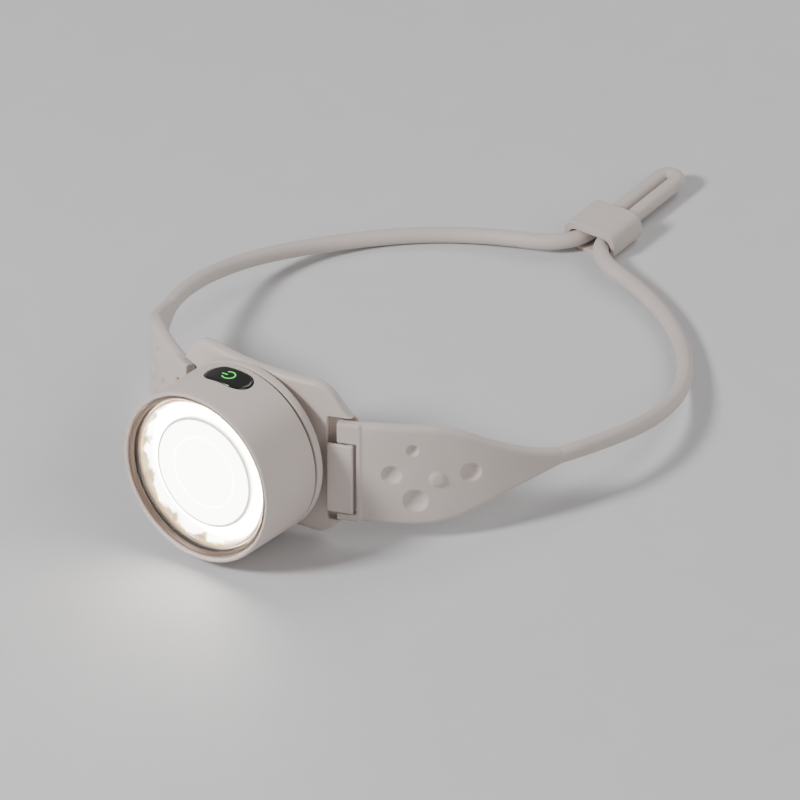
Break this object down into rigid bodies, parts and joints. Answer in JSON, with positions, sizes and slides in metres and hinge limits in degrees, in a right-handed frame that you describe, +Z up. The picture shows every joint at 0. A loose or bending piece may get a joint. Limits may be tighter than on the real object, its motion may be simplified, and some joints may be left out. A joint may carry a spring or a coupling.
{
  "type": "headlamp",
  "caption": "Round rechargeable headlamp that tilts on a curved forehead plate, with flat silicone arms running into a round head cord with a slider.",
  "frame": {"origin": "on the surface that the headlamp lies on, under the middle of the lamp, plate and arms, leaving out the cord and its slider", "axes": "+Z up, the lamp faces -Y and the cord runs back along +Y, +X across from arm to arm"},
  "size_m": [0.132, 0.1928, 0.0462],
  "materials": {
    "shell_plastic": "soft-touch matte, light greige",
    "silicone": "matte moulded silicone, light greige",
    "button_gloss": "glossy black",
    "power_green": "lit green translucent",
    "lens_clear": "clear polished",
    "optic_clear": "clear moulded optic, lit from behind",
    "reflector_chrome": "mirror",
    "bezel_bronze": "satin brownish ring",
    "seal_rubber": "matte",
    "circuit_board": "solder mask",
    "board_white": "white solder mask",
    "aluminium": "machined",
    "steel": "plain",
    "led_emitter": "phosphor",
    "battery_wrap": "pouch foil",
    "wire_red": "insulated wire",
    "wire_black": "insulated wire"
  },
  "bodies": {
    "bracket": {"bracket_plate": "shell_plastic", "forehead_pad": "silicone", "hinge_pin_right": "steel", "hinge_pin_left": "steel", "cord_right": "silicone", "cord_left": "silicone", "tail_end": "silicone"},
    "lamp": {"lamp_shell": "shell_plastic", "back_cover": "shell_plastic", "cover_seal": "seal_rubber", "cover_screw_1": "steel", "cover_screw_2": "steel", "cover_screw_3": "steel", "cover_screw_4": "steel", "bezel_ring": "bezel_bronze", "front_lens": "lens_clear", "lens_gasket": "seal_rubber", "reflector": "reflector_chrome", "center_optic": "optic_clear", "led_board": "board_white", "heat_spreader": "aluminium", "spot_led": "led_emitter", "flood_led_1": "led_emitter", "flood_led_2": "led_emitter", "flood_led_3": "led_emitter", "flood_led_4": "led_emitter", "battery": "battery_wrap", "main_board": "circuit_board", "usb_socket": "steel", "battery_lead_red": "wire_red", "battery_lead_black": "wire_black", "switch_board": "circuit_board", "tact_switch": "steel", "button_seal": "seal_rubber"},
    "button": {"button_cap": "button_gloss", "button_light": "power_green"},
    "port_cover": {"port_cover": "silicone"},
    "arm_right": {"arm_right": "silicone"},
    "arm_left": {"arm_left": "silicone"},
    "slider": {"slider": "silicone"}
  },
  "joints": [
    {"name": "lamp_tilt", "type": "hinge", "parent": "bracket", "child": "lamp", "pos_m": [0, -0.00914, 0.002], "axis": [1, 0, 0], "range_deg": [0, 60]},
    {"name": "button_press", "type": "slide", "parent": "lamp", "child": "button", "axis": [0, -0.1201, -0.9928], "range_m": [0, 0.0005], "stiffness_N_per_m": 1000},
    {"name": "port_cover_open", "type": "hinge", "parent": "lamp", "child": "port_cover", "pos_m": [-0.00605, -0.02043, 0.00187], "axis": [0, 0.9928, -0.1201], "range_deg": [0, 110]},
    {"name": "arm_right_pivot", "type": "hinge", "parent": "bracket", "child": "arm_right", "pos_m": [0.02316, -0.00389, 0.01966], "axis": [0, 0.1201, 0.9928], "range_deg": [-8, 8], "deforming": ["cord_right"]},
    {"name": "arm_left_pivot", "type": "hinge", "parent": "bracket", "child": "arm_left", "pos_m": [-0.02316, -0.00389, 0.01966], "axis": [0, 0.1201, 0.9928], "range_deg": [-8, 8], "deforming": ["cord_left"]},
    {"name": "slider_slide", "type": "slide", "parent": "bracket", "child": "slider", "axis": [0, 1, 0], "range_m": [0, 0.018]}
  ]
}
